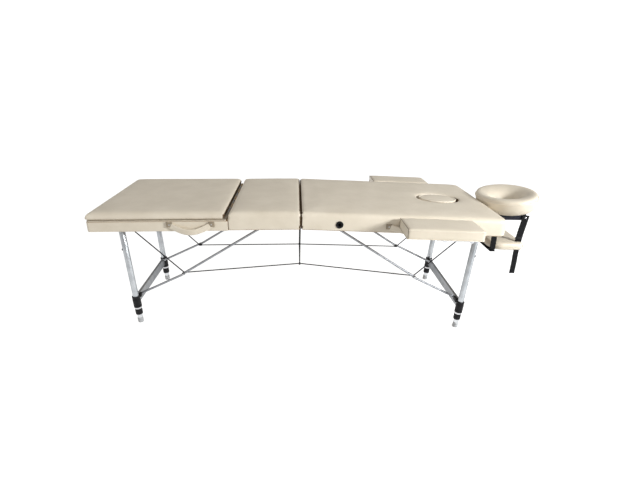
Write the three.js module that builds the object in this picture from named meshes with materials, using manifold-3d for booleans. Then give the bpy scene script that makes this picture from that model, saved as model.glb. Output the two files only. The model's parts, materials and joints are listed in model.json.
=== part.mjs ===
// Portable three-section massage table on folding aluminium legs.
// Millimetres, +Z up, +X towards the headrest, near side at -Y.
// Each half of the table is modelled flat about the fold axis, then turned by CROWN.
import * as THREE from 'three';
import Module from 'manifold-3d';
import { mergeVertices } from 'three/addons/utils/BufferGeometryUtils.js';

const wasm = await Module();
wasm.setup();

// Table top
const HALF_LENGTH = 925;
const HALF_WIDTH = 350;
const FRAME_LOW = 4;
const FRAME_HIGH = 47;
const DECK_LOW = 43;
const TOP = 87;
const EDGE = 25;
const SKIN = 4.5;
const GAP = 0.4;
const SINK = 0.3;
const FOLD_GAP = 1;
const RAIL = 22;
const BACK_HINGE_X = 321;
const BACK_GAP = 3;
const HEAD_CORNER = 36;
const HOLLOW_CORNER = 40;
const FOOT_CORNER = 14;
const CROWN = THREE.MathUtils.degToRad(1.37);

// Face hole
const FACE_X = 700;
const FACE_LENGTH = 205;
const FACE_WIDTH = 168;
const FACE_LEDGE = 13;

// Legs, measured down from the leg pivot or up from the floor along the leg
const PIVOT_X = 820;
const PIVOT_Z = 19;
const LEG_LENGTH = 522;
const LEG_LEAN = THREE.MathUtils.degToRad(2.9);
const LEG_Y = { left: 247, right: 282 };
const TUBE_R = 14;
const INNER_R = 12;

// Folding stays
const STAY_PIVOT_X = 75;
const STAY_PIVOT_Z = 32;
const KNUCKLE = { x: 571.4, z: -264.5 };
const STAY_R = 5.5;
const LOWER_STAY_Y = { left: 212.5, right: 227.5 };
const STAY_STEP = 13;
const LUG_UP = 140;
const LUG_OUT = 17;

// Cables
const CABLE_R = 2;
const CABLE_END = { x: 843, z: 13 };
const JUNCTION = { y: 139, z: -246 };
const JUNCTION_GAP = 5;

// Headrest and arm sling
const ARM_Y = 120;
const ARM_PIVOT_X = 960;
const TILT_X = 1113;
const ARM_Z = 28;
const HEAD_CENTRE_X = 1066;

const CREAM = { color: 0xe6dac2, roughness: 0.5, metalness: 0 };
const WOOD = { color: 0xc9a878, roughness: 0.7, metalness: 0 };
const ALUMINIUM = { color: 0xc6c9cd, roughness: 0.3, metalness: 1 };
const STEEL = { color: 0x9da0a4, roughness: 0.35, metalness: 1 };
const BLACK_PLASTIC = { color: 0x16171b, roughness: 0.45, metalness: 0 };
const BLACK_STEEL = { color: 0x22242b, roughness: 0.4, metalness: 0.6 };
const WEBBING = { color: 0x121215, roughness: 0.9, metalness: 0 };
const CABLE = { color: 0x2b2c30, roughness: 0.5, metalness: 0.4 };

// ---- Solids ---------------------------------------------------------------

function solidOf(geometry) {
  const plain = geometry.clone();
  plain.deleteAttribute('normal');
  plain.deleteAttribute('uv');
  const merged = mergeVertices(plain, 1e-4);
  return new wasm.Manifold(new wasm.Mesh({
    numProp: 3,
    vertProperties: new Float32Array(merged.attributes.position.array),
    triVerts: new Uint32Array(merged.index.array),
  }));
}

function join(...solids) {
  return solids.reduce((whole, solid) => whole.add(solid));
}

function cut(solid, ...tools) {
  return tools.reduce((whole, tool) => whole.subtract(tool), solid);
}

function geometryOf(solid) {
  const { vertProperties, triVerts } = solid.getMesh();
  const geometry = new THREE.BufferGeometry();
  geometry.setAttribute('position', new THREE.BufferAttribute(new Float32Array(vertProperties), 3));
  geometry.setIndex(new THREE.BufferAttribute(new Uint32Array(triVerts), 1));
  return geometry;
}

function block(x0, x1, y0, y1, z0, z1) {
  const low = new THREE.Vector3(Math.min(x0, x1), Math.min(y0, y1), Math.min(z0, z1));
  const high = new THREE.Vector3(Math.max(x0, x1), Math.max(y0, y1), Math.max(z0, z1));
  const size = high.clone().sub(low);
  const middle = high.add(low).multiplyScalar(0.5);
  return solidOf(new THREE.BoxGeometry(size.x, size.y, size.z).translate(middle.x, middle.y, middle.z));
}

function rod(from, to, radius, sides = 12) {
  const start = new THREE.Vector3(...from);
  const run = new THREE.Vector3(...to).sub(start);
  const geometry = new THREE.CylinderGeometry(radius, radius, run.length(), sides);
  geometry.translate(0, run.length() / 2, 0);
  const turn = new THREE.Quaternion().setFromUnitVectors(new THREE.Vector3(0, 1, 0), run.normalize());
  geometry.applyQuaternion(turn);
  geometry.translate(start.x, start.y, start.z);
  return solidOf(geometry);
}

function crossRod(x, z, y0, y1, radius, sides = 12) {
  return rod([x, y0, z], [x, y1, z], radius, sides);
}

// A ring turned about Z between two heights
function collar(outer, inner, z0, z1, sides = 20) {
  const profile = [[inner, z0], [outer, z0], [outer, z1], [inner, z1], [inner, z0]];
  const points = profile.map(([r, z]) => new THREE.Vector2(r, z));
  return solidOf(new THREE.LatheGeometry(points, sides).rotateX(Math.PI / 2));
}

// A solid turned about Z from a profile of radius and height pairs that starts and ends on the axis
function turned(profile, sides = 20) {
  const points = profile.map(([r, z]) => new THREE.Vector2(r, z));
  return solidOf(new THREE.LatheGeometry(points, sides).rotateX(Math.PI / 2));
}

const BEND = { swell: 1.25, turn: 0.4 };

// A chain of straight round lengths with a ball at each bend, a little wider than the wire
function wire(points, radius, sides = 8) {
  const lengths = points.slice(1).map((point, i) => rod(points[i], point, radius, sides));
  const bends = points.slice(1, -1).map((point) => {
    const ball = new THREE.SphereGeometry(radius * BEND.swell, sides, sides / 2).rotateX(BEND.turn);
    return solidOf(ball.translate(...point));
  });
  return join(...lengths, ...bends);
}

// ---- Outlines and pads -------------------------------------------------------

// An outline is a function that gives its convex ring of points, drawn in by an inset

// A rectangle in plan from x0 to x1, with its own corner radius at each end
function panel(x0, x1, halfWidth, r0, r1, segments = 4) {
  const xs = x0 < x1 ? [x0, x1] : [x1, x0];
  const radii = x0 < x1 ? [r0, r1] : [r1, r0];
  const corners = [[1, 1], [0, 1], [0, -1], [1, -1]];
  return (inset) => corners.flatMap(([end, dy], corner) => {
    const dx = end === 1 ? 1 : -1;
    const r = Math.max(radii[end] - inset, 1);
    const cx = xs[end] - dx * (inset + r);
    const cy = dy * (halfWidth - inset - r);
    return Array.from({ length: segments + 1 }, (_, i) => {
      const angle = (Math.PI / 2) * (corner + i / segments);
      return [cx + r * Math.cos(angle), cy + r * Math.sin(angle)];
    });
  });
}

function oval(x, y, length, width, segments = 24) {
  return (inset) => Array.from({ length: segments }, (_, i) => {
    const angle = (2 * Math.PI * i) / segments;
    return [x + (length / 2 - inset) * Math.cos(angle), y + (width / 2 - inset) * Math.sin(angle)];
  });
}

// A closed skin over rings of points that all have one count, each ring at its own height
function loft(rings) {
  const count = rings[0].points.length;
  const positions = rings.flatMap(({ points, z }) => points.flatMap(([x, y]) => [x, y, z]));
  const faces = [];
  for (let k = 0; k + 1 < rings.length; k += 1) {
    for (let i = 0; i < count; i += 1) {
      const a = k * count + i;
      const b = k * count + ((i + 1) % count);
      faces.push(a, b, b + count, a, b + count, a + count);
    }
  }
  const last = (rings.length - 1) * count;
  for (let i = 1; i + 1 < count; i += 1) {
    faces.push(0, i + 1, i);
    faces.push(last, last + i, last + i + 1);
  }
  const geometry = new THREE.BufferGeometry();
  geometry.setAttribute('position', new THREE.Float32BufferAttribute(positions, 3));
  geometry.setIndex(faces);
  return solidOf(geometry);
}

function prism(outline, z0, z1) {
  return loft([{ points: outline(0), z: z0 }, { points: outline(0), z: z1 }]);
}

const ROUNDING = [0, 0.35, 0.68, 1].map((t) => t * (Math.PI / 2));

// A pad with its upper edge rounded, and its lower edge too if lowEdge is given
function pillow(outline, z0, z1, edge, lowEdge = edge) {
  const rings = [];
  if (lowEdge === 0) rings.push({ points: outline(0), z: z0 });
  const lowAngles = lowEdge === 0 ? [] : [...ROUNDING].reverse();
  for (const angle of lowAngles) {
    rings.push({ points: outline(lowEdge * (1 - Math.cos(angle))), z: z0 + lowEdge * (1 - Math.sin(angle)) });
  }
  for (const angle of ROUNDING) {
    rings.push({ points: outline(edge * (1 - Math.cos(angle))), z: z1 - edge * (1 - Math.sin(angle)) });
  }
  return loft(rings);
}

function cushion(outline, z0, z1, edge) {
  return pillow(outline, z0, z1, edge, 0);
}

// ---- Scene graph helpers --------------------------------------------------------

function group(parent, x = 0, y = 0, z = 0, turn = 0) {
  const node = new THREE.Group();
  node.position.set(x, y, z);
  node.rotation.y = turn;
  parent.add(node);
  return node;
}

function place(parent, name, solid, finish) {
  const geometry = geometryOf(solid);
  geometry.computeVertexNormals();
  const mesh = new THREE.Mesh(geometry, new THREE.MeshStandardMaterial(finish));
  mesh.name = name;
  parent.add(mesh);
  return mesh;
}

const massageTable = new THREE.Group();
const leftHalf = group(massageTable, 0, 0, 0, -CROWN);
const rightHalf = group(massageTable, 0, 0, 0, CROWN);

// ---- Frames and decks --------------------------------------------------------------

const RACK = { y0: 300, x0: -865, x1: -470, top: 35, pitch: 56, depth: 7 };
const DECK_OVERHANG = 20;
const MID_RAIL = 36;

// A box-section ring of rails, open underneath
function railRing(outline, inner) {
  return cut(prism(outline, FRAME_LOW, FRAME_HIGH), prism(inner, FRAME_LOW - 1, DECK_LOW));
}

function ratchetRack(side) {
  const y0 = side * RACK.y0;
  const y1 = side * (HALF_WIDTH - RAIL + 3);
  const notches = [];
  for (let x = RACK.x0 + 95; x < RACK.x1 - 20; x += RACK.pitch) {
    const notch = new THREE.Shape();
    notch.moveTo(x, 1);
    notch.lineTo(x, -RACK.depth);
    notch.lineTo(x + 2 * RACK.depth, 1);
    notch.closePath();
    const depth = Math.abs(y1 - y0) + 4;
    const geometry = new THREE.ExtrudeGeometry(notch, { depth, bevelEnabled: false });
    geometry.rotateX(Math.PI / 2);
    notches.push(solidOf(geometry.translate(0, Math.max(y0, y1) + 2, RACK.top)));
  }
  return cut(block(RACK.x0, RACK.x1, y0, y1, 14, RACK.top), ...notches);
}

function leftFrame() {
  const wrapX = -(BACK_HINGE_X + BACK_GAP);
  const outer = join(
    prism(panel(wrapX, -HALF_LENGTH, HALF_WIDTH, 1, FOOT_CORNER), FRAME_LOW, FRAME_HIGH),
    block(wrapX - 1, -FOLD_GAP - SKIN, -HALF_WIDTH + SKIN, HALF_WIDTH - SKIN, FRAME_LOW, FRAME_HIGH),
  );
  const hollow = block(-HALF_LENGTH + RAIL, -MID_RAIL, -HALF_WIDTH + RAIL, HALF_WIDTH - RAIL, 0, DECK_LOW);
  const backOpening = block(-HALF_LENGTH + RAIL, wrapX, -HALF_WIDTH + RAIL, HALF_WIDTH - RAIL, 0, 60);
  const ledge = block(
    -BACK_HINGE_X - DECK_OVERHANG, wrapX + 1,
    -HALF_WIDTH + RAIL - 1, HALF_WIDTH - RAIL + 1, DECK_LOW + SINK, FRAME_HIGH - SINK,
  );
  return join(cut(outer, hollow, backOpening), ledge, ratchetRack(-1), ratchetRack(1));
}

const SOCKET = { x: 169, z: 34, tube: 11, bore: 8, flange: 16.5 };
const POST = { x: [600, 715], z: 22, r: 7, inner: 303 };
const HEAD_ROD = { r: 8, inner: 885 };
const SIDE_BORE = { inner: 300, outer: 360 };
const END_BORE = { inner: 880, outer: 940 };

function sideBore(side, x, z, radius) {
  return crossRod(x, z, side * SIDE_BORE.inner, side * SIDE_BORE.outer, radius);
}

function headRodBore(side, clearance) {
  const [y, radius] = [side * ARM_Y, HEAD_ROD.r + clearance];
  return rod([END_BORE.inner, y, ARM_Z], [END_BORE.outer, y, ARM_Z], radius);
}

// Bores through a rail for the side sockets, the armrests' posts and the headrest's rods
function railBores() {
  return [-1, 1].flatMap((side) => [
    sideBore(side, SOCKET.x, SOCKET.z, SOCKET.tube + GAP),
    ...POST.x.map((x) => sideBore(side, x, POST.z, POST.r + GAP)),
    headRodBore(side, GAP),
  ]);
}

function rightFrame() {
  const headEnd = HALF_LENGTH - SKIN;
  const near = FOLD_GAP + SKIN;
  const outer = panel(near, headEnd, HALF_WIDTH - SKIN, 2, HEAD_CORNER - SKIN);
  const inner = panel(MID_RAIL, headEnd - RAIL, HALF_WIDTH - RAIL, 2, HOLLOW_CORNER);
  const faceHole = oval(FACE_X, 0, FACE_LENGTH - 2 * FACE_LEDGE, FACE_WIDTH - 2 * FACE_LEDGE);
  return cut(railRing(outer, inner), prism(faceHole, DECK_LOW - 1, FRAME_HIGH + 1), ...railBores());
}

place(rightHalf, 'right_frame', rightFrame(), WOOD);

// ---- Cushions on the fixed sections ---------------------------------------------------

// A covered cushion whose cover runs down over the rails as a thin skirt
function wrappedCushion(outline, hollow, openings = []) {
  const body = cushion(outline, FRAME_LOW, TOP, EDGE);
  return cut(body, prism(hollow, FRAME_LOW - 1, FRAME_HIGH + GAP), ...openings);
}

const midCushion = wrappedCushion(
  panel(-FOLD_GAP, -BACK_HINGE_X + BACK_GAP, HALF_WIDTH, 6, 6),
  panel(-FOLD_GAP - SKIN + GAP, -BACK_HINGE_X - 20, HALF_WIDTH - SKIN + GAP, 1, 1),
);
place(leftHalf, 'mid_cushion', midCushion, CREAM);

const mainCushion = wrappedCushion(
  panel(FOLD_GAP, HALF_LENGTH, HALF_WIDTH, 6, HEAD_CORNER),
  panel(FOLD_GAP + SKIN - GAP, HALF_LENGTH - SKIN + GAP, HALF_WIDTH - SKIN + GAP, 2, HEAD_CORNER - SKIN + GAP),
  [
    prism(oval(FACE_X, 0, FACE_LENGTH, FACE_WIDTH), FRAME_LOW, TOP + 1),
    ...railBores(),
  ],
);
place(rightHalf, 'main_cushion', mainCushion, CREAM);

const facePocket = group(rightHalf, FACE_X, 0, 0);
const plug = pillow(oval(0, 0, FACE_LENGTH - 12, FACE_WIDTH - 10), FRAME_HIGH + GAP, TOP + 1, 9);
place(facePocket, 'face_plug', plug, CREAM);

// ---- Fold hinge along the middle ---------------------------------------------------------

const HINGE_R = 3;
const KNUCKLES = 5;
const HINGE_HALF = 300;
const LEAF_LOW = 1.9;
const LEAF_HIGH = FRAME_LOW - GAP;

// Stay lug: a tab that runs in from the leaf and turns up beside the stay's end
function stayLug(side, y) {
  const outward = Math.sign(y) * (STAY_R + GAP);
  const tab = block(side * 30, side * (STAY_PIVOT_X + 9), y, y + 3 * outward, LEAF_LOW, LEAF_HIGH);
  const ear = block(
    side * (STAY_PIVOT_X - 9), side * (STAY_PIVOT_X + 9),
    y + outward, y + outward + Math.sign(y) * 3, LEAF_LOW, STAY_PIVOT_Z + 7,
  );
  const pin = crossRod(side * STAY_PIVOT_X, STAY_PIVOT_Z, y - outward, y + outward + Math.sign(y), 2.6, 10);
  return join(tab, ear, pin);
}

function foldLeaf(side, half) {
  const upper = LOWER_STAY_Y[half] - STAY_STEP;
  const parts = [block(side * (HINGE_R + 1.2), side * 34, -HINGE_HALF, HINGE_HALF, LEAF_LOW, LEAF_HIGH)];
  const pitch = (2 * HINGE_HALF) / KNUCKLES;
  for (let i = 0; i < KNUCKLES; i += 1) {
    if ((i % 2 === 0) !== (side < 0)) continue;
    const y0 = -HINGE_HALF + i * pitch + 0.5;
    const y1 = y0 + pitch - 1;
    parts.push(crossRod(0, 0, y0, y1, HINGE_R, 12));
    parts.push(block(0, side * 6, y0, y1, LEAF_LOW - 1, LEAF_HIGH - 1));
  }
  return join(...parts, stayLug(side, -upper), stayLug(side, upper));
}

place(leftHalf, 'fold_hinge_left', foldLeaf(-1, 'left'), STEEL);
place(rightHalf, 'fold_hinge_right', foldLeaf(1, 'right'), STEEL);

// ---- Backrest section ---------------------------------------------------------------------

const BACK_AXIS_Z = 68;
const BACK_DECK_HIGH = FRAME_HIGH + GAP + 5;
const backrest = group(leftHalf, -BACK_HINGE_X, 0, BACK_AXIS_Z);
const PROP = { pivot: 262, length: 272, z: 42 - BACK_AXIS_Z, y: 285, r: 3.5 };

function propLug(side) {
  const x = -PROP.pivot;
  const top = BACK_DECK_HIGH - BACK_AXIS_Z - 2;
  const plate = block(x - 8, x + 8, side * (PROP.y + 4.5), side * (PROP.y + 8), PROP.z - 4.5, top);
  return join(plate, crossRod(x, PROP.z, side * (PROP.y - 3), side * (PROP.y + 6), 1.8, 8));
}

function backDeck() {
  const bottom = FRAME_HIGH + GAP - BACK_AXIS_Z;
  const top = BACK_DECK_HIGH - BACK_AXIS_Z;
  const outline = panel(-BACK_GAP - 1, BACK_HINGE_X - HALF_LENGTH + 1, HALF_WIDTH - 1, 6, FOOT_CORNER);
  return join(prism(outline, bottom, top), propLug(-1), propLug(1));
}

function backCushion() {
  const bottom = BACK_DECK_HIGH + GAP - BACK_AXIS_Z;
  const outline = panel(-BACK_GAP, BACK_HINGE_X - HALF_LENGTH, HALF_WIDTH, 6, FOOT_CORNER);
  return cushion(outline, bottom, TOP - BACK_AXIS_Z, EDGE);
}

const SEAM_LEAF = { half: 280, thick: 1.2, barrels: 8, r: 2 };

// Hinge strip that stands in the seam between two cushions
function seamLeaf(side, z0, z1) {
  const { half, thick, barrels, r } = SEAM_LEAF;
  const face = side * 0.5;
  const parts = [
    block(face, face + side * thick, -half, half, z0 + SINK, -r - 2 * SINK),
    block(face, side * (BACK_GAP - GAP), SINK - half, half - SINK, z0, z1),
  ];
  const pitch = (2 * half) / barrels;
  for (let i = 0; i < barrels; i += 1) {
    if ((i % 2 === 0) !== (side < 0)) continue;
    const y0 = -half + i * pitch + GAP;
    const y1 = y0 + pitch - 2 * GAP;
    parts.push(crossRod(0, 0, y0, y1, r, 10));
    const wingRoot = face + side * (SINK / 2);
    const wingBack = face + side * (thick - SINK / 2);
    parts.push(block(wingRoot, wingBack, y0 + SINK, y1 - SINK, -r - 1, -r / 4));
  }
  return join(...parts);
}

function prop() {
  const parts = [];
  for (const side of [-1, 1]) {
    const bar = rod([3.6, side * PROP.y, 0], [-PROP.length, side * PROP.y, 0], PROP.r, 8);
    parts.push(cut(bar, crossRod(0, 0, side * (PROP.y - 6), side * (PROP.y + 6), 2.2, 8)));
  }
  return join(...parts, crossRod(-PROP.length, 0, -318, 318, PROP.r, 8));
}

const seamFoot = FRAME_HIGH + GAP - BACK_AXIS_Z;
const propPivot = group(backrest, -PROP.pivot, 0, PROP.z);
place(backrest, 'back_deck', backDeck(), WOOD);
place(backrest, 'back_cushion', backCushion(), CREAM);
place(backrest, 'back_hinge_leaf', seamLeaf(-1, seamFoot, seamFoot + 5), STEEL);

// The frame carries the fixed strip of the seam hinge
const fixedLeaf = geometryOf(seamLeaf(1, FRAME_HIGH - BACK_AXIS_Z - 1, seamFoot + 5));
fixedLeaf.translate(-BACK_HINGE_X, 0, BACK_AXIS_Z);
place(leftHalf, 'left_frame', join(leftFrame(), solidOf(fixedLeaf)), WOOD);
place(propPivot, 'backrest_prop', prop(), STEEL);

// ---- Legs -------------------------------------------------------------------------------------

const FOOT_R = 13.5;
const BRACKET = { r: 19, low: 85, high: 143 };
const CROSSBAR = { half: 6, low: 100, high: 142 };
const TWIST = { r: 17, low: 46, high: 75 };
const INNER_TOP = 350;
const SOLE = 1;
const OUTER_LOW = 80;
const LUG = { low: 130, high: 150, near: 9, far: 22.5 };

// Height above the floor, along the leg, as a z below the leg's pivot
function up(height) {
  return height - LEG_LENGTH;
}

function outerLeg() {
  const tube = collar(TUBE_R, INNER_R + GAP, up(OUTER_LOW), 13, 16);
  return cut(tube, crossRod(0, 0, -20, 20, 4.4, 10));
}

// A tube with a rubber foot moulded over its closed lower end, whose sole is level on the floor
function innerLeg(side) {
  const wall = INNER_R - 1.6;
  const profile = [
    [0, up(0)], [11.5, up(0)], [FOOT_R, up(3)], [FOOT_R, up(26)], [INNER_R, up(28)],
    [INNER_R, up(INNER_TOP)], [wall, up(INNER_TOP)], [wall, up(16)], [0, up(16)],
  ];
  const below = new THREE.BoxGeometry(60, 60, 20).translate(0, 0, -10);
  below.rotateY(-side * (CROWN + LEG_LEAN)).translate(0, 0, up(SOLE));
  return cut(turned(profile, 16), solidOf(below));
}

// side is +1 towards +X; y is the leg's own place; the stay's lug points to the table's middle
function legBracket(side, y, stayY) {
  const ring = collar(BRACKET.r, TUBE_R + GAP, up(BRACKET.low), up(BRACKET.high), 18);
  const inboard = -Math.sign(y);
  const reach = inboard * (Math.abs(y) - stayY - STAY_R - GAP);
  const lug = block(-side * LUG.near, -side * LUG.far, inboard * 8, reach, up(LUG.low), up(LUG.high));
  const bore = rod([0, 0, up(LUG.low) - 2], [0, 0, up(LUG.high) + 2], TUBE_R + GAP, 18);
  const pinEnd = reach + inboard * (2 * STAY_R + 2 * GAP + 1.5);
  const pin = crossRod(-side * LUG_OUT, up(LUG_UP), reach - inboard, pinEnd, 2.6, 10);
  return join(ring, cut(lug, bore), pin);
}

function crossbar(legY) {
  const reach = legY - BRACKET.r - GAP;
  return block(-CROSSBAR.half, CROSSBAR.half, -reach, reach, up(CROSSBAR.low), up(CROSSBAR.high));
}

function cableY(half) {
  return LOWER_STAY_Y[half] - STAY_STEP - 10;
}

const MOUNT_FACE = { left: HALF_LENGTH - RAIL, right: HALF_LENGTH - SKIN - RAIL - 2.5 };
const MOUNT_PLATE = 3;

// Steel angle on the end rail, with a pair of ears and a pin for each leg and a tab for each cable
function legMount(side, half) {
  const face = MOUNT_FACE[half];
  const legY = LEG_Y[half];
  const plate = block(side * (face - GAP - MOUNT_PLATE), side * (face - GAP), -legY - 20, legY + 20, 8, 40);
  const parts = [plate];
  for (const y of [-legY, legY]) {
    for (const dy of [-1, 1]) {
      const y0 = y + dy * (TUBE_R + 1);
      parts.push(block(side * (PIVOT_X - 10), side * (face - GAP - 2), y0, y0 + dy * 3, 9, 29));
    }
    parts.push(crossRod(side * PIVOT_X, PIVOT_Z, y - TUBE_R - 6, y + TUBE_R + 6, 4, 10));
    const tabY = Math.sign(y) * cableY(half);
    const tabEnd = side * (CABLE_END.x + CABLE_R + GAP);
    const tabZ = [CABLE_END.z - 4, CABLE_END.z + 4];
    parts.push(block(tabEnd, side * (face - GAP - 2), tabY - 3, tabY + 3, ...tabZ));
  }
  return side < 0 ? join(...parts) : cut(join(...parts), headRodBore(-1, 1), headRodBore(1, 1));
}

const NEAR_FAR = [['near', -1], ['far', 1]];

function addLegs(parent, half, side) {
  const legY = LEG_Y[half];
  const stayY = LOWER_STAY_Y[half];
  place(parent, `${half}_leg_mount`, legMount(side, half), STEEL);
  const legs = group(parent, side * PIVOT_X, 0, PIVOT_Z, side * LEG_LEAN);
  place(legs, `${half}_crossbar`, crossbar(legY), ALUMINIUM);
  for (const [where, dy] of NEAR_FAR) {
    const y = dy * legY;
    const leg = group(legs, 0, y, 0);
    place(leg, `${half}_${where}_leg`, outerLeg(), ALUMINIUM);
    place(leg, `${half}_${where}_leg_bracket`, legBracket(side, y, stayY), BLACK_PLASTIC);
    place(leg, `${half}_${where}_inner_leg`, innerLeg(side), ALUMINIUM);
    const twist = collar(TWIST.r, INNER_R + 0.6, up(TWIST.low), up(TWIST.high), 18);
    place(leg, `${half}_${where}_twist_collar`, twist, BLACK_PLASTIC);
  }
  return legs;
}

const leftLegs = addLegs(leftHalf, 'left', -1);
const rightLegs = addLegs(rightHalf, 'right', 1);

// ---- Folding stays --------------------------------------------------------------------------------

const stayRun = { x: KNUCKLE.x - STAY_PIVOT_X, z: KNUCKLE.z - STAY_PIVOT_Z };
const UPPER_LENGTH = Math.hypot(stayRun.x, stayRun.z);
const UPPER_ANGLE = Math.atan2(-stayRun.z, stayRun.x);
const lugX = PIVOT_X - (LEG_LENGTH - LUG_UP) * Math.sin(LEG_LEAN) - LUG_OUT * Math.cos(LEG_LEAN);
const lugZ = PIVOT_Z - (LEG_LENGTH - LUG_UP) * Math.cos(LEG_LEAN) + LUG_OUT * Math.sin(LEG_LEAN);
const LOWER_LENGTH = Math.hypot(lugX - KNUCKLE.x, lugZ - KNUCKLE.z);
const LOWER_ANGLE = Math.atan2(KNUCKLE.z - lugZ, lugX - KNUCKLE.x);

// A round stay along X from its pinned end, with a bore for the pin
function stay(direction, length) {
  const bar = rod([-direction * 9, 0, 0], [direction * (length + 9), 0, 0], STAY_R, 10);
  return cut(bar, crossRod(0, 0, -10, 10, 3, 10));
}

function upperStay(side, dy) {
  const rivet = crossRod(side * UPPER_LENGTH, 0, -dy * (STAY_R + 1), dy * (STAY_STEP - STAY_R - GAP), 2.6, 10);
  return join(stay(side, UPPER_LENGTH), rivet);
}

function addStays(parent, legs, half, side) {
  const lowerY = LOWER_STAY_Y[half];
  for (const [where, dy] of NEAR_FAR) {
    const upperY = dy * (lowerY - STAY_STEP);
    const upper = group(parent, side * STAY_PIVOT_X, upperY, STAY_PIVOT_Z, side * UPPER_ANGLE);
    place(upper, `${half}_${where}_upper_stay`, upperStay(side, dy), ALUMINIUM);
    const turn = side * (LOWER_ANGLE - LEG_LEAN);
    const lower = group(legs, -side * LUG_OUT, dy * lowerY, up(LUG_UP), turn);
    place(lower, `${half}_${where}_lower_stay`, stay(-side, LOWER_LENGTH), ALUMINIUM);
  }
}

addStays(leftHalf, leftLegs, 'left', -1);
addStays(rightHalf, rightLegs, 'right', 1);

// ---- Cables -----------------------------------------------------------------------------------------

function addCables(parent, half, side) {
  for (const [where, dy] of NEAR_FAR) {
    const y = dy * cableY(half);
    const route = [
      [side * CABLE_END.x, y, CABLE_END.z],
      [side * KNUCKLE.x, y, KNUCKLE.z],
      [side * (JUNCTION_GAP - JUNCTION.z * Math.sin(CROWN)), dy * JUNCTION.y, JUNCTION.z],
    ];
    place(parent, `${half}_${where}_cable`, wire(route, CABLE_R), CABLE);
  }
}

addCables(leftHalf, 'left', -1);
addCables(rightHalf, 'right', 1);

const web = [
  [0, -JUNCTION.y, -HINGE_R - 2],
  [0, -JUNCTION.y, JUNCTION.z],
  [0, JUNCTION.y, JUNCTION.z],
  [0, JUNCTION.y, -HINGE_R - 2],
];
place(massageTable, 'centre_cable', wire(web, CABLE_R), CABLE);

// ---- Side sockets, handles and armrests ----------------------------------------------------------------

// A band of even thickness along a path in the XZ plane, y0 to y1 wide
function band(path, thickness, y0, y1) {
  const offset = (i, by) => {
    const before = path[Math.max(i - 1, 0)];
    const after = path[Math.min(i + 1, path.length - 1)];
    const along = new THREE.Vector2(after[0] - before[0], after[1] - before[1]).normalize();
    return new THREE.Vector2(path[i][0] - along.y * by, path[i][1] + along.x * by);
  };
  const left = path.map((_, i) => offset(i, thickness / 2));
  const right = path.map((_, i) => offset(i, -thickness / 2));
  const shape = new THREE.Shape([...left, ...right.reverse()]);
  const geometry = new THREE.ExtrudeGeometry(shape, { depth: Math.abs(y1 - y0), bevelEnabled: false });
  geometry.rotateX(Math.PI / 2);
  return solidOf(geometry.translate(0, Math.max(y0, y1), 0));
}

function sideSocket(side) {
  const flange = crossRod(SOCKET.x, SOCKET.z, side * 350.5, side * 354, SOCKET.flange, 20);
  const tube = crossRod(SOCKET.x, SOCKET.z, side * 330, side * 352, SOCKET.tube, 16);
  return cut(join(flange, tube), crossRod(SOCKET.x, SOCKET.z, side * 320, side * 360, SOCKET.bore, 16));
}

const HANDLE = { x0: 378, x1: 577, z: 37, height: 28, thick: 9, points: 9 };

// A padded carry strap that sags between its two fixings
function handle(side, sag) {
  const path = [];
  for (let i = 0; i < HANDLE.points; i += 1) {
    const t = i / (HANDLE.points - 1);
    const x = HANDLE.x0 + (HANDLE.x1 - HANDLE.x0) * t;
    path.push([side * x, HANDLE.z - sag * Math.sin(Math.PI * t)]);
  }
  return band(path, HANDLE.height, -HALF_WIDTH - 1, -HALF_WIDTH - 1 - HANDLE.thick);
}

place(leftHalf, 'left_handle', handle(-1, 33), CREAM);
place(rightHalf, 'right_handle', handle(1, 9), CREAM);

const ARMREST = { y: 440, x0: 430, x1: 755, halfWidth: 80, low: 35.5, high: 80 };

function armrestBracket(side) {
  const plate = block(560, 738, -60, 60, 28, ARMREST.low - GAP);
  const posts = POST.x.map((x) => {
    const inner = -side * (ARMREST.y - POST.inner);
    return rod([x, inner, POST.z], [x, side * 45, POST.z], POST.r, 12);
  });
  return join(plate, ...posts);
}

for (const [where, dy] of NEAR_FAR) {
  place(rightHalf, `${where}_side_socket`, sideSocket(dy), BLACK_PLASTIC);
  const armrest = group(rightHalf, 0, dy * ARMREST.y, 0);
  const outline = panel(ARMREST.x0, ARMREST.x1, ARMREST.halfWidth, 4, 14);
  place(armrest, `${where}_armrest`, pillow(outline, ARMREST.low, ARMREST.high, 10), CREAM);
  place(armrest, `${where}_armrest_bracket`, armrestBracket(dy), STEEL);
}

// ---- Headrest -----------------------------------------------------------------------------------------

const ARM = { inner: 116, outer: 124, half: 12.5, start: -6, end: 162 };
const TILT = { x: TILT_X - ARM_PIVOT_X, z: 2.5, turn: THREE.MathUtils.degToRad(-6.4) };
const HEAD = { x: HEAD_CENTRE_X - TILT_X, length: 268, width: 362, low: 30, high: 100 };
const FACE_OPENING = { length: 150, width: 96 };

function headrestBase() {
  const parts = [block(938, 945, -128, 128, ARM_Z - 11, ARM_Z + 10)];
  for (const dy of [-1, 1]) {
    parts.push(rod([HEAD_ROD.inner, dy * ARM_Y, ARM_Z], [942, dy * ARM_Y, ARM_Z], HEAD_ROD.r, 14));
    parts.push(block(940, 968, dy * 108, dy * 114, ARM_Z - 9, ARM_Z + 9));
    parts.push(crossRod(ARM_PIVOT_X, ARM_Z, dy * 110, dy * 127, 3.5, 10));
  }
  return join(...parts);
}

function headrestArm(dy) {
  const bar = block(ARM.start, ARM.end, dy * ARM.inner, dy * ARM.outer, -ARM.half, ARM.half);
  const pivot = crossRod(0, 0, dy * 105, dy * 130, 3.9, 10);
  return cut(bar, pivot, crossRod(TILT.x, TILT.z, dy * 105, dy * 130, 4.6, 10));
}

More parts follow.
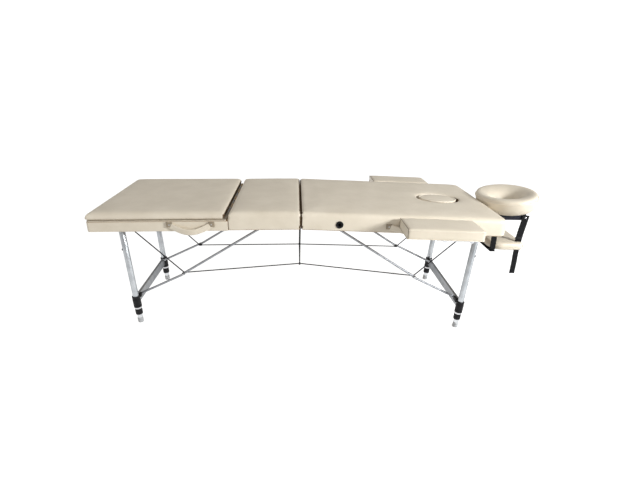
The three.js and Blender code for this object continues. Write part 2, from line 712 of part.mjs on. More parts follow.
function headrestPlate() {
  const oblong = prism(oval(HEAD.x, 0, 190, 210), 24, HEAD.low - GAP);
  const bridge = block(-12, 12, -113, 113, 21, HEAD.low - GAP);
  const opening = prism(oval(HEAD.x, 0, 120, 80), 10, 40);
  const ears = [-1, 1].flatMap((dy) => [
    block(-10, 10, dy * 108, dy * 113, -8, 25),
    crossRod(0, 0, dy * 109, dy * 128, 4.2, 10),
  ]);
  return cut(join(oblong, bridge, ...ears), opening);
}

function headrestCushion() {
  const outline = oval(HEAD.x, 0, HEAD.length, HEAD.width);
  const ring = pillow(outline, HEAD.low, HEAD.high, 22);
  return cut(ring, prism(oval(HEAD.x, 0, FACE_OPENING.length, FACE_OPENING.width), 0, 120));
}

const headrest = group(rightHalf, 0, 0, 0);
const arms = group(headrest, ARM_PIVOT_X, 0, ARM_Z, -CROWN);
const cradle = group(arms, TILT.x, 0, TILT.z, TILT.turn);
place(headrest, 'headrest_base', headrestBase(), BLACK_STEEL);
place(arms, 'headrest_near_arm', headrestArm(-1), BLACK_STEEL);
place(arms, 'headrest_far_arm', headrestArm(1), BLACK_STEEL);
place(cradle, 'headrest_plate', headrestPlate(), BLACK_STEEL);
place(cradle, 'headrest_cushion', headrestCushion(), CREAM);

// ---- Arm sling below the headrest ---------------------------------------------------------------------------

const SLING = { x0: -162, x1: 12, halfWidth: 162, low: -163, high: -123, inner: 66, outer: 30 };
const STRAP = { half: 14, thick: 1.6, y: 130, x: -15, under: -165.6, tailEnd: -300 };
const INNER_STRAP = { x: -152, y: 155, topY: 131, topZ: 9 };
const sling = group(arms, TILT.x, 0, TILT.z);

// Webbing from the tilt bolts down through the pad's slots and across below it, with a free tail on the near side
function outerStrap() {
  const { x, under } = STRAP;
  const fall = [[0, 10], [x, SLING.high - 3], [x, under - STRAP.thick]];
  const y0 = STRAP.y;
  const y1 = STRAP.y + STRAP.thick;
  return join(
    band([...fall, [x + 3, STRAP.tailEnd]], 2 * STRAP.half, -y1, -y0),
    band(fall, 2 * STRAP.half, y0, y1),
    block(x - STRAP.half + SINK, x + STRAP.half - SINK, -y1 + SINK, y1 - SINK, under - STRAP.thick + SINK, under),
  );
}

// Webbing from beside the arms' inner pivots down outside the pad's corners and across below it
function innerStrap() {
  const { x, y, topY, topZ } = INNER_STRAP;
  const low = STRAP.under - STRAP.thick / 2;
  const far = [[topY, topZ], [topY + 2, -20], [y, -90], [y, low + 12], [y - 12, low]];
  const near = far.map(([across, z]) => [-across, z]);
  const loop = geometryOf(band([...near, ...far.reverse()], STRAP.thick, -STRAP.half, STRAP.half));
  return solidOf(loop.rotateZ(Math.PI / 2).translate(x, 0, 0));
}

const slotX = [STRAP.x - STRAP.half - 2 * GAP, STRAP.x + STRAP.half + 2 * GAP];
const slots = [-1, 1].map((dy) => (
  block(...slotX, dy * (STRAP.y - GAP), dy * (STRAP.y + STRAP.thick + GAP), SLING.low - 1, SLING.high + 1)
));
const slingOutline = panel(SLING.x0, SLING.x1, SLING.halfWidth, SLING.inner, SLING.outer);
place(sling, 'sling_pad', cut(pillow(slingOutline, SLING.low, SLING.high, 14), ...slots), CREAM);
place(sling, 'sling_outer_strap', outerStrap(), WEBBING);
place(sling, 'sling_inner_strap', innerStrap(), WEBBING);

// ---- Stand the table on its feet, centred in plan -----------------------------------------------------

massageTable.updateMatrixWorld(true);
const bounds = new THREE.Box3().setFromObject(massageTable, true);
const centre = bounds.getCenter(new THREE.Vector3());
massageTable.position.set(-centre.x, -centre.y, -bounds.min.z);
massageTable.updateMatrixWorld(true);

export default massageTable;
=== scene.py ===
import json
import math
import bmesh
import bpy
import numpy as np
from mathutils import Matrix, Vector


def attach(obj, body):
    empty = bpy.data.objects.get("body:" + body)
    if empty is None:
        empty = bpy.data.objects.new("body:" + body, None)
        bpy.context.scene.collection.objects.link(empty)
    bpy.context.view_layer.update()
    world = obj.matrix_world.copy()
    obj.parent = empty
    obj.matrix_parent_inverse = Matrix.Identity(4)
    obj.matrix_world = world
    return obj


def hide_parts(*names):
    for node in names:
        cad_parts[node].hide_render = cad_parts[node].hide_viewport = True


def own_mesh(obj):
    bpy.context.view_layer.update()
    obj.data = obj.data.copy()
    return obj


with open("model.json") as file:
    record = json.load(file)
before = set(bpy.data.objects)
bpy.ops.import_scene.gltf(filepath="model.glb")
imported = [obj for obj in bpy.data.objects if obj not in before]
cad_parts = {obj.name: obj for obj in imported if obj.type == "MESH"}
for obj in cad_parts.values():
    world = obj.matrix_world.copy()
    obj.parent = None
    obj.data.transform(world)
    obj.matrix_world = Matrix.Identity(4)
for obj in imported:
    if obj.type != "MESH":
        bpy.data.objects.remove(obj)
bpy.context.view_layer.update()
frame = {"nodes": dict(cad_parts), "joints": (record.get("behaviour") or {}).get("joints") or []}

# Lengths below are in millimetres in the table's own half frames, as the CAD has them
MM = 0.001
HALF_LENGTH, HALF_WIDTH, TOP = 925, 350, 87
FRAME_LOW, FRAME_HIGH, GAP = 4, 47, 0.4
BACK_HINGE_X, BACK_AXIS_Z, BACK_GAP = 321, 68, 3
HEAD_CORNER, FOOT_CORNER = 36, 14
CROWN = math.radians(1.37)
FACE_X, FACE_LENGTH, FACE_WIDTH = 700, 205, 168
PIVOT_X, PIVOT_Z, LEG_LENGTH = 820, 19, 522
LEG_LEAN = math.radians(2.9)
LEG_Y = {"left": 247, "right": 282}
STAY_PIVOT_X, STAY_PIVOT_Z, STAY_R, STAY_STEP = 75, 32, 5.5, 13
KNUCKLE_X, KNUCKLE_Z = 571.4, -264.5
LOWER_STAY_Y = {"left": 212.5, "right": 227.5}
LUG_UP, LUG_OUT = 140, 17
JUNCTION_Y, JUNCTION_Z, JUNCTION_GAP = 139, -246, 5
CABLE_END_X, CABLE_END_Z, WIRE_R = 843, 13, 2.8
ARM_PIVOT_X, TILT_X, ARM_Z, HEAD_CENTRE_X = 960, 1113, 28, 1066
HEAD_TURN = math.radians(-6.4)
SOCKET_X, SOCKET_Z = 169, 34
SIDES = {"left": -1, "right": 1}
NEAR_FAR = {"near": -1, "far": 1}
QUARTER = math.pi / 2
X_AXIS, Z_AXIS = Vector((1, 0, 0)), Vector((0, 0, 1))


def at(x, y, z):
    return Matrix.Translation(Vector((x, y, z)) * MM)


def turn(angle, axis="Y"):
    return Matrix.Rotation(angle, 4, axis)


def up(height):
    """z below a leg's pivot of a height above the floor, measured along the leg."""
    return height - LEG_LENGTH


hinge = Vector(next(j for j in frame["joints"] if j["name"] == "fold")["pos_m"])
HALF = {h: Matrix.Translation(hinge) @ turn(s * CROWN) for h, s in SIDES.items()}
LEGS = {h: HALF[h] @ at(s * PIVOT_X, 0, PIVOT_Z) @ turn(s * LEG_LEAN) for h, s in SIDES.items()}
BACKREST = HALF["left"] @ at(-BACK_HINGE_X, 0, BACK_AXIS_Z)
ARMS = HALF["right"] @ at(ARM_PIVOT_X, 0, ARM_Z) @ turn(-CROWN)
SLING = ARMS @ at(TILT_X - ARM_PIVOT_X, 0, 2.5)
CRADLE = SLING @ turn(HEAD_TURN)

# ---- Materials ----
METAL_EDGE = (0.38, 0.39, 0.41, 1)  # what a metal reflects at grazing angles


def new_material(name, colour, rough, metal=0.0, **sockets):
    """A material with its node tree and its shader."""
    made = bpy.data.materials.new(name)
    made.use_nodes = True
    tree = made.node_tree
    shader = tree.nodes["Principled BSDF"]
    shader.inputs["Base Color"].default_value = (*colour, 1)
    shader.inputs["Roughness"].default_value = rough
    shader.inputs["Metallic"].default_value = metal
    for socket, value in sockets.items():
        shader.inputs[socket.replace("_", " ")].default_value = value
    return made, tree, shader


def texture(tree, kind, scale, stretch=(1, 1, 1), **values):
    """A procedural texture on the object's own coordinates, in metres."""
    coords = tree.nodes.new("ShaderNodeTexCoord")
    mapping = tree.nodes.new("ShaderNodeMapping")
    mapping.inputs["Scale"].default_value = stretch
    tree.links.new(coords.outputs["Object"], mapping.inputs["Vector"])
    node = tree.nodes.new(kind)
    node.inputs["Scale"].default_value = scale
    for socket, value in values.items():
        node.inputs[socket].default_value = value
    tree.links.new(mapping.outputs["Vector"], node.inputs["Vector"])
    return node.outputs["Fac"] if "Fac" in node.outputs else node.outputs["Distance"]


def tint(tree, shader, factor, dark, light, low=0.3, high=0.7):
    ramp = tree.nodes.new("ShaderNodeValToRGB")
    first, last = ramp.color_ramp.elements
    first.position, last.position = low, high
    first.color, last.color = (*dark, 1), (*light, 1)
    tree.links.new(factor, ramp.inputs["Fac"])
    tree.links.new(ramp.outputs["Color"], shader.inputs["Base Color"])


def roughen(tree, shader, factor, low, high):
    scaled = tree.nodes.new("ShaderNodeMapRange")
    scaled.inputs["To Min"].default_value = low
    scaled.inputs["To Max"].default_value = high
    tree.links.new(factor, scaled.inputs["Value"])
    tree.links.new(scaled.outputs["Result"], shader.inputs["Roughness"])


def bump(tree, shader, *layers):
    """Stacks (height, strength, distance in metres) layers of bump."""
    normal = None
    for height, strength, distance in layers:
        node = tree.nodes.new("ShaderNodeBump")
        node.inputs["Strength"].default_value = strength
        node.inputs["Distance"].default_value = distance
        tree.links.new(height, node.inputs["Height"])
        if normal:
            tree.links.new(normal, node.inputs["Normal"])
        normal = node.outputs["Normal"]
    tree.links.new(normal, shader.inputs["Normal"])


def vinyl(name, dark, light):
    """Soft-touch upholstery vinyl: pebbled grain over slow stretch ripples."""
    made, tree, shader = new_material(name, light, 0.45, Coat_Weight=0.08, Coat_Roughness=0.35)
    mottle = texture(tree, "ShaderNodeTexNoise", 9, Detail=4, Roughness=0.6)
    pebble = texture(tree, "ShaderNodeTexVoronoi", 620)
    fine = texture(tree, "ShaderNodeTexNoise", 1500, Detail=2)
    ripple = texture(tree, "ShaderNodeTexNoise", 14, Detail=2)
    tint(tree, shader, mottle, dark, light)
    roughen(tree, shader, mottle, 0.38, 0.52)
    bump(tree, shader, (ripple, 0.35, 0.0035), (pebble, 0.35, 0.0004), (fine, 0.2, 0.0002))
    return made


def metal(name, dark, light, rough, along):
    """Drawn or plated metal with fine lines that run along one axis."""
    made, tree, shader = new_material(name, light, rough, 1.0, Specular_Tint=METAL_EDGE)
    stretch = [1.0, 1.0, 1.0]
    stretch["XYZ".index(along)] = 0.02
    lines = texture(tree, "ShaderNodeTexNoise", 900, stretch, Detail=3)
    cloud = texture(tree, "ShaderNodeTexNoise", 22, Detail=3)
    tint(tree, shader, cloud, dark, light)
    roughen(tree, shader, lines, rough - 0.08, rough + 0.12)
    bump(tree, shader, (lines, 0.25, 0.0002))
    return made


def moulded(name, dark, light, rough, metallic=0.0, grain=900):
    """Moulded plastic, rubber or powder coat with an orange-peel skin."""
    made, tree, shader = new_material(name, light, rough, metallic, Specular_IOR_Level=0.2)
    peel = texture(tree, "ShaderNodeTexNoise", grain, Detail=2)
    scuff = texture(tree, "ShaderNodeTexNoise", 60, Detail=5, Roughness=0.7)
    tint(tree, shader, scuff, dark, light)
    roughen(tree, shader, scuff, rough - 0.1, rough + 0.12)
    bump(tree, shader, (peel, 0.3, 0.0003))
    return made


def timber(name, dark, light):
    """Sealed wood with its grain along X."""
    made, tree, shader = new_material(name, light, 0.6)
    grain = texture(tree, "ShaderNodeTexNoise", 160, (0.06, 1, 1), Detail=6, Roughness=0.65)
    pores = texture(tree, "ShaderNodeTexNoise", 900, (0.05, 1, 1), Detail=2)
    tint(tree, shader, grain, dark, light, 0.35, 0.65)
    roughen(tree, shader, pores, 0.5, 0.7)
    bump(tree, shader, (grain, 0.3, 0.0005), (pores, 0.3, 0.0003))
    return made


def woven(name, dark, light):
    """Cloth or webbing: crossed waves give the rib of the weave."""
    made, tree, shader = new_material(name, light, 0.9, Specular_IOR_Level=0.25)
    ribs = []
    for axis, scale in (("X", 160), ("Z", 260)):
        coords = tree.nodes.new("ShaderNodeTexCoord")
        wave = tree.nodes.new("ShaderNodeTexWave")
        wave.bands_direction = axis
        wave.inputs["Scale"].default_value = scale
        wave.inputs["Distortion"].default_value = 0.6
        tree.links.new(coords.outputs["Object"], wave.inputs["Vector"])
        ribs.append(wave.outputs["Fac"])
    fuzz = texture(tree, "ShaderNodeTexNoise", 700, Detail=3)
    tint(tree, shader, fuzz, dark, light)
    bump(tree, shader, (ribs[0], 0.5, 0.0006), (ribs[1], 0.5, 0.0006), (fuzz, 0.3, 0.0003))
    return made


# Each finish is a material and a slot name
CREAM = (vinyl("cream_vinyl", (0.73, 0.65, 0.52), (0.81, 0.73, 0.60)), "cream_vinyl")
# Piping a little lighter than the cream vinyl: painted highlight on its rolled edge
WELT_HIGHLIGHT = (vinyl("cream_piping_painted_highlight", (0.76, 0.69, 0.57), (0.86, 0.79, 0.67)), "cream_vinyl")
BACKING = (woven("backing_cloth", (0.58, 0.51, 0.40), (0.70, 0.62, 0.50)), "cream_vinyl")
# Dark brown vinyl: the dark piping round the armrests' end faces, and on the handle tabs painted
# shade of the strap's folded ends
DARK_PIPING_AND_FOLD_SHADE = (vinyl("dark_piping_and_fold_shade", (0.24, 0.19, 0.13), (0.38, 0.31, 0.22)), "cream_vinyl")
# Dark brown cloth colour for the end walls in the seams between pads: painted shade where the gaps
# fall dark
SEAM_SHADE = (woven("seam_painted_shade", (0.085, 0.055, 0.028), (0.15, 0.10, 0.055)), "cream_vinyl")
WOOD = (timber("sealed_wood", (0.42, 0.27, 0.14), (0.60, 0.43, 0.26)), "wood_frame")
TUBE_Z = (metal("anodised_tube", (0.40, 0.42, 0.44), (0.54, 0.56, 0.58), 0.3, "Z"), "aluminium")
STAY = (metal("anodised_stay", (0.30, 0.31, 0.33), (0.42, 0.43, 0.45), 0.58, "Z"), "aluminium")
# Aluminium darker than the legs' tubes: painted shade on the downward-facing brace bar
SHADED_ALUMINIUM_BAR = (metal("anodised_bar_painted_shade", (0.34, 0.35, 0.36), (0.46, 0.47, 0.48), 0.38, "Y"), "aluminium")
INNER = (metal("bright_tube", (0.58, 0.60, 0.62), (0.72, 0.73, 0.75), 0.22, "Z"), "inner_tube")
STEEL = (metal("zinc_plate", (0.50, 0.51, 0.53), (0.66, 0.67, 0.69), 0.32, "Y"), "steel")
BRIGHT = (metal("bright_bolt", (0.55, 0.55, 0.57), (0.70, 0.70, 0.71), 0.24, "Y"), "steel")
BLACK = (moulded("black_plastic", (0.004, 0.004, 0.005), (0.011, 0.011, 0.013), 0.44),
         "black_plastic")
COATED = (moulded("black_powder_coat", (0.006, 0.0065, 0.011), (0.016, 0.017, 0.026),
                  0.4, 0.2, 1400), "black_steel")
RUBBER = (moulded("grey_rubber", (0.44, 0.45, 0.46), (0.58, 0.59, 0.60), 0.5), "black_plastic")
WEBBING = (woven("black_webbing", (0.003, 0.003, 0.004), (0.010, 0.010, 0.012)), "webbing")
WIRE = (moulded("coated_wire", (0.008, 0.008, 0.010), (0.022, 0.022, 0.026), 0.45, 0.1, 1800),
        "cable")

# ---- Mesh helpers ----


def settle(obj, finish, body, replaces=(), sharp=35):
    """Gives a finished mesh its finish and shading, and rides it on a body."""
    material, slot = finish
    obj.data.materials.clear()
    obj.data.materials.append(material)
    obj.data.polygons.foreach_set("use_smooth", [True] * len(obj.data.polygons))
    obj.data.set_sharp_from_angle(angle=math.radians(sharp))
    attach(obj, body)
    if replaces:
        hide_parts(*replaces)
    return obj


def linked(name, mesh):
    obj = bpy.data.objects.new(name, mesh)
    bpy.context.scene.collection.objects.link(obj)
    return obj


def mesh_object(name, verts, faces, place):
    """An object from points in millimetres in the frame that place sets, its normals outward."""
    mesh = bpy.data.meshes.new(name)
    mesh.from_pydata([Vector(v) * MM for v in verts], [], faces)
    shape = bmesh.new()
    shape.from_mesh(mesh)
    bmesh.ops.recalc_face_normals(shape, faces=shape.faces)
    shape.to_mesh(mesh)
    shape.free()
    obj = linked(name, mesh)
    obj.matrix_world = place
    return obj


def skin(rings, closed=False):
    """Points and faces of a skin over rings that all have one count; open ends are capped."""
    count = len(rings[0])
    faces = []
    spans = len(rings) if closed else len(rings) - 1
    for k in range(spans):
        a, b = k * count, ((k + 1) % len(rings)) * count
        faces += [(a + i, a + (i + 1) % count, b + (i + 1) % count, b + i) for i in range(count)]
    if not closed:
        last = (len(rings) - 1) * count
        faces += [tuple(range(count))[::-1], tuple(range(last, last + count))]
    return [p for ring in rings for p in ring], faces


def round_angles(count):
    return [2 * math.pi * i / count for i in range(count)]


def circle(radius, z, segments, flutes=0, depth=0.0):
    ring = []
    for a in round_angles(segments):
        r = radius - depth * (0.5 - 0.5 * math.cos(flutes * a))
        ring.append((r * math.cos(a), r * math.sin(a), z))
    return ring


def lathe(name, profile, place, finish, body, segments=40, replaces=(), closed=False, **ribs):
    """A piece turned about Z from (radius, z) pairs. ribs are the flutes round its widest part
    and their depth."""
    widest = max(r for r, _ in profile)
    rings = []
    for r, z in profile:
        fluted = ribs if r > widest - 1.2 else {}
        rings.append(circle(max(r, 0.05), z, segments, **fluted))
    obj = mesh_object(name, *skin(rings, closed), place)
    return settle(obj, finish, body, replaces)


def pointing(start, end):
    """A frame at start whose Z runs to end, and the distance, in millimetres."""
    run = Vector(end) - Vector(start)
    return at(*start) @ run.to_track_quat("Z", "Y").to_matrix().to_4x4(), run.length


def bolt(name, place, radius, height, finish, body):
    """A domed head that stands on the XY plane of place."""
    rim, dome = 0.35, 0.65  # shares of the height
    profile = [(radius, 0), (radius, height * rim)]
    for t in (0.5, 0.95, 1.3):
        profile.append((radius * math.cos(t), height * (rim + dome * math.sin(t))))
    return lathe(name, profile, place, finish, body, 20)


def slab(name, low, high, place, finish, body, bevel, replaces=()):
    """A box with rounded edges."""
    shape = bmesh.new()
    bmesh.ops.create_cube(shape, size=1)
    size, middle = Vector(high) - Vector(low), (Vector(high) + Vector(low)) / 2
    for v in shape.verts:
        v.co = Vector(v.co[i] * size[i] + middle[i] for i in range(3)) * MM
    bmesh.ops.bevel(shape, geom=shape.edges[:], offset=bevel * MM, segments=3, affect="EDGES",
                    profile=0.5)
    mesh = bpy.data.meshes.new(name)
    shape.to_mesh(mesh)
    shape.free()
    obj = linked(name, mesh)
    obj.matrix_world = place
    return settle(obj, finish, body, replaces)


def sweep(path, section, side):
    """Rings of a section of (across, out) pairs carried along a path; side is across it."""
    rings = []
    for i, point in enumerate(path):
        before, after = path[max(i - 1, 0)], path[min(i + 1, len(path) - 1)]
        along = (Vector(after) - Vector(before)).normalized()
        out = along.cross(side).normalized()
        across = out.cross(along).normalized()
        rings.append([Vector(point) + across * a + out * b for a, b in section])
    return rings


def round_section(radius, segments):
    return [(radius * math.cos(a), radius * math.sin(a)) for a in round_angles(segments)]


def flat_section(width, thick, corner=None):
    """A rounded rectangle, width across and thick out."""
    corner = corner or thick * 0.45
    steps = 4
    points = []
    for quarter, (sx, sy) in enumerate(((1, 1), (-1, 1), (-1, -1), (1, -1))):
        for i in range(steps + 1):
            a = (quarter + i / steps) * math.pi / 2
            points.append((
                sx * (width / 2 - corner) + corner * math.cos(a),
                sy * (thick / 2 - corner) + corner * math.sin(a),
            ))
    return points


def smooth_path(points, per_span):
    """A Catmull-Rom curve through the points."""
    pts = [Vector(p) for p in points]
    pts = [pts[0] * 2 - pts[1], *pts, pts[-1] * 2 - pts[-2]]
    out = []
    for k in range(1, len(pts) - 2):
        p0, p1, p2, p3 = pts[k - 1:k + 3]
        for i in range(per_span):
            t = i / per_span
            out.append(0.5 * (2 * p1 + (p2 - p0) * t + (2 * p0 - 5 * p1 + 4 * p2 - p3) * t ** 2
                              + (3 * p1 - p0 - 3 * p2 + p3) * t ** 3))
    return out + [pts[-2]]


def strand(name, path, radius, place, finish, body, replaces=()):
    """A round cord along an open path."""
    side = Vector((0.31, 0.92, 0.23)).normalized()  # a direction that no cord follows
    rings = sweep(path, round_section(radius, 10), side)
    return settle(mesh_object(name, *skin(rings), place), finish, body, replaces)


def piping(name, path, radius, place, finish, body, segments=8):
    """A round cord that closes on itself."""
    wrapped = [path[-1], *path, path[0]]
    rings = sweep(wrapped, round_section(radius, segments), Z_AXIS)[1:len(path) + 1]
    return settle(mesh_object(name, *skin(rings, True), place), finish, body)


# ---- Padded pieces ----
PRESSURE, CLOTH_FRAMES, SWELL_ROUNDS = 4.0, 20, 28
VINYL = 1.2  # thickness of a cover
SEAM_CORNER = 2.5  # corner radius of a cover's lower wall where two sections meet


def panel(x0, x1, half_width, r0, r1):
    """Outline of a rectangle in plan with a corner radius for each end, drawn in by an inset."""
    xs, radii = ((x0, x1), (r0, r1)) if x0 < x1 else ((x1, x0), (r1, r0))
    steps = 8

    def outline(inset):
        ring = []
        for corner, (end, dy) in enumerate(((1, 1), (0, 1), (0, -1), (1, -1))):
            dx = 1 if end else -1
            r = max(radii[end] - inset, 1)
            cx, cy = xs[end] - dx * (inset + r), dy * (half_width - inset - r)
            for i in range(steps + 1):
                a = QUARTER * (corner + i / steps)
                ring.append((cx + r * math.cos(a), cy + r * math.sin(a)))
        return ring

    return outline


def oval(x, length, width):
    def outline(inset):
        a, b = length / 2 - inset, width / 2 - inset
        return [(x + a * math.cos(t), b * math.sin(t)) for t in round_angles(72)]

    return outline


def at_height(outline, inset, z):
    return [(x, y, z) for x, y in outline(inset)]


def pillow_rings(outline, z0, z1, edge, low_edge, start=0.0):
    """Rings of a pad with rounded top and lower edges; start is the inset of its walls."""
    turns = [QUARTER * i / 5 for i in range(6)]

    def rounded(radius, t, z, way):
        drop = way * radius * (1 - math.sin(t))
        return at_height(outline, start + radius * (1 - math.cos(t)), z - drop)

    if low_edge:
        rings = [rounded(low_edge, t, z0, -1) for t in reversed(turns)]
    else:
        rings = [at_height(outline, start, z0)]
    return rings + [rounded(edge, t, z1, 1) for t in turns]


def baked(obj):
    """Replaces an object's mesh by its mesh with the modifiers applied."""
    graph = bpy.context.evaluated_depsgraph_get()
    mesh = bpy.data.meshes.new_from_object(obj.evaluated_get(graph))
    obj.modifiers.clear()
    obj.data = mesh


def coordinates(mesh):
    co = np.empty(len(mesh.vertices) * 3)
    mesh.vertices.foreach_get("co", co)
    return co.reshape(-1, 3)


def move_to(mesh, co):
    mesh.vertices.foreach_set("co", co.ravel())
    mesh.update()


def subtract(obj, cutter):
    mod = obj.modifiers.new("cut", "BOOLEAN")
    mod.operation, mod.object, mod.solver = "DIFFERENCE", cutter, "EXACT"
    bpy.context.view_layer.update()
    baked(obj)
    bpy.data.objects.remove(cutter)


def spread(mesh, values):
    """Averages a value at each point with its neighbours' along the edges, SWELL_ROUNDS times."""
    ends = np.empty(len(mesh.edges) * 2, dtype=np.int64)
    mesh.edges.foreach_get("vertices", ends)
    a, b = ends.reshape(-1, 2).T
    count = np.bincount(ends, minlength=len(values))
    for _ in range(SWELL_ROUNDS):
        total = np.bincount(a, values[b], len(values)) + np.bincount(b, values[a], len(values))
        values = (values + total / count) / 2
    return values


def swell(obj, cap, held):
    """Moves a pad's points outward, by up to cap, to where cloth under pressure carries them."""
    rest = coordinates(obj.data)
    pins = obj.vertex_groups.new(name="held")
    pins.add([i for i, p in enumerate(rest / MM) if held(*p)], 1.0, "REPLACE")
    cloth = obj.modifiers.new("Cloth", "CLOTH")
    cloth.settings.vertex_group_mass = "held"
    cloth.settings.use_pressure = True
    cloth.settings.uniform_pressure_force = PRESSURE
    cloth.settings.effector_weights.gravity = 0
    cloth.collision_settings.use_collision = False
    cloth.point_cache.frame_end = CLOTH_FRAMES
    for step in range(1, CLOTH_FRAMES + 1):
        bpy.context.scene.frame_set(step)
    graph = bpy.context.evaluated_depsgraph_get()
    move = coordinates(obj.evaluated_get(graph).data) - rest
    obj.modifiers.remove(cloth)
    bpy.context.scene.frame_set(1)
    normals = np.array([v.normal for v in obj.data.vertices])
    limit = cap * MM
    out = limit * np.tanh((move * normals).sum(axis=1).clip(0) / limit)
    move_to(obj.data, rest + normals * spread(obj.data, out)[:, None])


def stuff(obj, voxel, cap, held):
    """Remeshes a pad evenly, swells it, and rounds it with one subdivision.
    held says from a point in millimetres whether it is fixed."""
    mod = obj.modifiers.new("remesh", "REMESH")
    mod.mode, mod.voxel_size = "VOXEL", voxel * MM
    baked(obj)
    relax = obj.modifiers.new("relax", "SMOOTH")
    relax.factor, relax.iterations = 0.5, 2
    baked(obj)
    swell(obj, cap, held)
    obj.modifiers.new("round", "SUBSURF").levels = 1
    baked(obj)


def hug(obj, x0, x1, end_radius):
    """Draws a cover's lower wall out to the rounded rectangle of the frame it is pulled over:
    all of it up to 2 mm above the frame, and less and less over the next 6 mm."""
    co = coordinates(obj.data) / MM
    middle = (x0 + x1) / 2
    fade, deepest = 6, 6
    sign_x, sign_y = np.sign(co[:, 0] - middle), np.sign(co[:, 1])
    radius = np.where(sign_x == np.sign(x1 - x0), end_radius, SEAM_CORNER)
    qx = np.abs(co[:, 0] - middle) - (abs(x1 - x0) / 2 - radius)
    qy = np.abs(co[:, 1]) - (HALF_WIDTH - radius)
    flat = np.maximum(qx, qy) <= 0
    gx = np.where(flat, (qx >= qy) * 1.0, qx.clip(0))
    gy = np.where(flat, (qy > qx) * 1.0, qy.clip(0))
    size = np.hypot(gx, gy)
    inside = radius - np.where(flat, np.maximum(qx, qy), size)
    share = ((FRAME_HIGH + 2 + fade - co[:, 2]) / fade).clip(0, 1)
    share = share * ((inside > 0) & (inside < deepest))
    co[:, 0] += sign_x * gx / size * inside * share
    co[:, 1] += sign_y * gy / size * inside * share
    move_to(obj.data, co * MM)


def open_underneath(obj, gone):
    """Turns a swollen solid into a cover: takes away the faces that gone picks by centre and
    normal, and thickens the rest inward."""
    shape = bmesh.new()
    shape.from_mesh(obj.data)
    picked = [f for f in shape.faces if gone(f.calc_center_median() / MM, f.normal)]
    bmesh.ops.delete(shape, geom=picked, context="FACES")
    shape.to_mesh(obj.data)
    shape.free()
    mod = obj.modifiers.new("thick", "SOLIDIFY")
    mod.thickness, mod.offset = VINYL * MM, -1
    baked(obj)


def padded(obj, body, replaces, painted_shade_end=0, painted_shade_top=0):
    """The last two arguments give the X direction, in the pad's own frame, of the end walls
    coloured dark as painted shade in a seam, and the height where that painted shade stops. Low
    down it reaches closer to the pad's sides."""
    settle(obj, CREAM, body, replaces, 180)
    if painted_shade_end:
        # Walls facing the given X direction below the given height take the dark cloth as painted
        # seam shade; on the main pad the face hole's far wall takes it too
        obj.data.materials.append(SEAM_SHADE[0])
        for face in obj.data.polygons:
            centre = face.center / MM
            margin, facing = (0.4, 0.35) if centre.z < FRAME_HIGH + 16 else (5, 0.6)
            inside = centre.z < painted_shade_top and abs(centre.y) < HALF_WIDTH - margin
            face.material_index = int(inside and face.normal.x * painted_shade_end > facing)


def square_end(obj, end, lean=0.0):
    """Tightens the rounding of a pad beside a seam, in the X direction only, about its end.
    lean tips the end wall in that direction, so two pads meet all the way up despite the crown."""
    share, reach = 0.2, 26
    for v in obj.data.vertices:
        d = v.co.x / MM - end
        if abs(d) < reach:
            v.co.x = (end + d * (share + (1 - share) * (d / reach) ** 2)) * MM
            v.co.x += lean * v.co.z


# Table top. The pads are drawn 3 mm low, which leaves room for their swell
PAD_END, PAD_TOP, PAD_EDGE = 0.3, TOP - 3, 22
TOP_VOXEL, TOP_SWELL, TOP_FILL = 8, 5, 0.8
BACK_END = -BACK_GAP - 7
MIDDLE_END = -BACK_HINGE_X + BACK_GAP
MEET = math.tan(CROWN)


def rigid_side(x, y, z):
    return z < FRAME_HIGH + 5


def under_cover(centre, normal):
    return centre.z < FRAME_LOW + 2 and normal.z < -0.7


def beside_foot_frame(centre):
    """The middle cover's end wall where the folded legs lie."""
    low = centre.z < FRAME_HIGH - 3 and abs(centre.y) < HALF_WIDTH - 27
    return low and centre.x < MIDDLE_END + 7


def in_hole(x, y, grow):
    a, b = FACE_LENGTH / 2 + grow, FACE_WIDTH / 2 + grow
    return ((x - FACE_X) / a) ** 2 + (y / b) ** 2 < 1


def face_hole_wall(centre, normal):
    return in_hole(centre.x, centre.y, -4) and centre.z < FRAME_HIGH + 3 and abs(normal.z) > 0.6


def over_socket(centre):
    off = math.hypot(centre.x - SOCKET_X, centre.z - SOCKET_Z)
    return off < 11 and abs(centre.y) > HALF_WIDTH - 8


back_outline = panel(BACK_END, BACK_HINGE_X - HALF_LENGTH - 7, HALF_WIDTH + 2, 8, FOOT_CORNER)
back_low, back_top = FRAME_HIGH + 6.2 - BACK_AXIS_Z, PAD_TOP - BACK_AXIS_Z
back = mesh_object("back_pad", *skin(pillow_rings(
    back_outline, back_low, back_top, PAD_EDGE, 0, 1.5)), BACKREST)
square_end(back, BACK_END)
stuff(back, TOP_VOXEL, TOP_SWELL, lambda x, y, z: z < FRAME_HIGH + 9 - BACK_AXIS_Z)
padded(back, "backrest", ["back_cushion"], 1, TOP - 12 - BACK_AXIS_Z)

middle_outline = panel(-PAD_END, MIDDLE_END, HALF_WIDTH, 4, 6)
middle = mesh_object("middle_pad", *skin(pillow_rings(
    middle_outline, FRAME_LOW, PAD_TOP, PAD_EDGE, 0, 0.5)), HALF["left"])
square_end(middle, -PAD_END, MEET)
stuff(middle, TOP_VOXEL, TOP_SWELL, rigid_side)
hug(middle, -PAD_END, MIDDLE_END, SEAM_CORNER)
open_underneath(middle, lambda c, n: under_cover(c, n) or beside_foot_frame(c))
padded(middle, "left_half", ["mid_cushion"], 1, TOP + 5)

